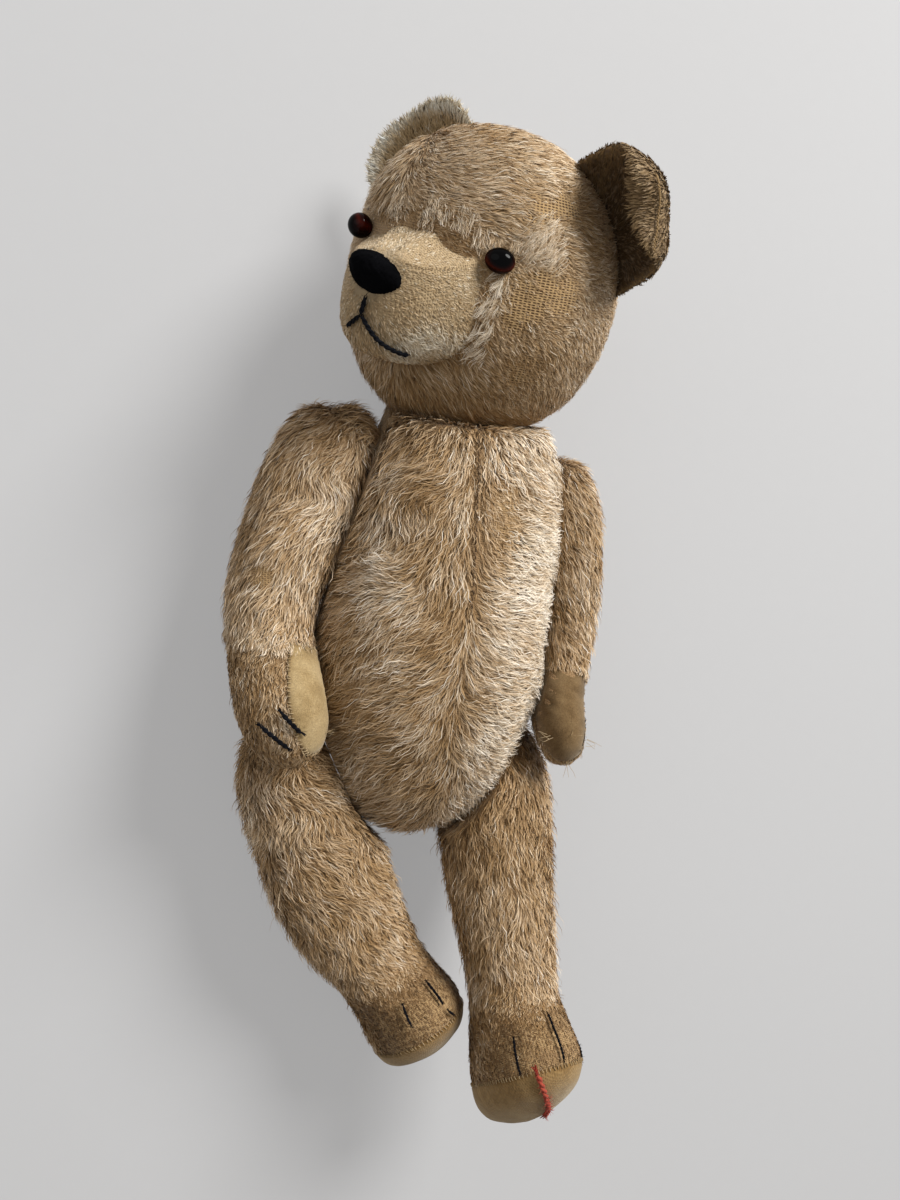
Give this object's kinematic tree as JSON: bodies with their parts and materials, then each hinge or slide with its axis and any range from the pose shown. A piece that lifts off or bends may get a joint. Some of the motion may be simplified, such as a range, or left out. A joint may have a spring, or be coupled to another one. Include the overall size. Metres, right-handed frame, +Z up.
{
  "type": "teddy bear",
  "caption": "Large jointed teddy bear of worn beige mohair with dark glass eyes, stitched nose and mouth, felt paws and cloth soles, lying on its back.",
  "frame": {"origin": "centre of the bear's outline on the surface it lies on", "axes": "+Y from the feet toward the head, +X to the bear's own left, +Z up from the back toward the front"},
  "size_m": [0.2428, 0.6234, 0.1792],
  "materials": {
    "pile": "long worn mohair pile, beige brown",
    "pale_pile": "short worn mohair pile, pale beige",
    "felt": "worn felt and cloth, mustard beige",
    "dark_thread": "blue-black pearl cotton thread",
    "red_thread": "faded red mending thread",
    "eye_glass": "polished dark amber glass",
    "board": "plain fibre board",
    "steel": "dull steel"
  },
  "bodies": {
    "trunk": {"disc_hip_left_body": "board", "disc_hip_right_body": "board", "disc_neck_body": "board", "disc_shoulder_left_body": "board", "disc_shoulder_right_body": "board", "pin_hip_left": "steel", "pin_hip_right": "steel", "pin_neck": "steel", "pin_shoulder_left": "steel", "pin_shoulder_right": "steel", "torso": "pile", "washer_hip_left_body": "steel", "washer_hip_right_body": "steel", "washer_neck_body": "steel", "washer_shoulder_left_body": "steel", "washer_shoulder_right_body": "steel"},
    "head_part": {"disc_neck_limb": "board", "ear_left": "pile", "ear_right": "pile", "eye_left": "eye_glass", "eye_right": "eye_glass", "head": "pile", "mouth_thread_centre": "dark_thread", "mouth_thread_left": "dark_thread", "mouth_thread_right": "dark_thread", "muzzle": "pale_pile", "nose_thread": "dark_thread", "washer_neck_limb": "steel"},
    "arm_part_right": {"arm_right": "pile", "claw_thread_arm_right_1": "dark_thread", "claw_thread_arm_right_2": "dark_thread", "disc_shoulder_right_limb": "board", "paw_pad_right": "felt", "washer_shoulder_right_limb": "steel"},
    "arm_part_left": {"arm_left": "pile", "claw_thread_arm_left": "dark_thread", "disc_shoulder_left_limb": "board", "paw_pad_left": "felt", "washer_shoulder_left_limb": "steel"},
    "leg_part_right": {"claw_thread_leg_right_1": "dark_thread", "claw_thread_leg_right_2": "dark_thread", "claw_thread_leg_right_3": "dark_thread", "disc_hip_right_limb": "board", "foot_pad_right": "felt", "leg_right": "pile", "washer_hip_right_limb": "steel"},
    "leg_part_left": {"claw_thread_leg_left_1": "dark_thread", "claw_thread_leg_left_2": "dark_thread", "claw_thread_leg_left_3": "dark_thread", "disc_hip_left_limb": "board", "foot_pad_left": "felt", "leg_left": "pile", "mending_thread_red": "red_thread", "washer_hip_left_limb": "steel"}
  },
  "joints": [
    {"name": "neck", "type": "hinge", "parent": "trunk", "child": "head_part", "pos_m": [0.01397, 0.12247, 0.06264], "axis": [-0.06, 0.9577, 0.2815], "continuous": true},
    {"name": "shoulder_right", "type": "hinge", "parent": "trunk", "child": "arm_part_right", "pos_m": [-0.04603, 0.07958, 0.05939], "axis": [-0.9781, 0.2076, 0.0109], "range_deg": [0, 90]},
    {"name": "shoulder_left", "type": "hinge", "parent": "trunk", "child": "arm_part_left", "pos_m": [0.07697, 0.07459, 0.05913], "axis": [0.9962, 0.0871, 0.0046], "range_deg": [-90, 0]},
    {"name": "hip_right", "type": "hinge", "parent": "trunk", "child": "leg_part_right", "pos_m": [-0.04473, -0.10217, 0.04986], "axis": [-0.866, -0.4993, -0.0262], "range_deg": [-75, 5]},
    {"name": "hip_left", "type": "hinge", "parent": "trunk", "child": "leg_part_left", "pos_m": [0.06087, -0.10217, 0.04986], "axis": [0.8829, -0.4689, -0.0246], "range_deg": [-45, 0]}
  ]
}
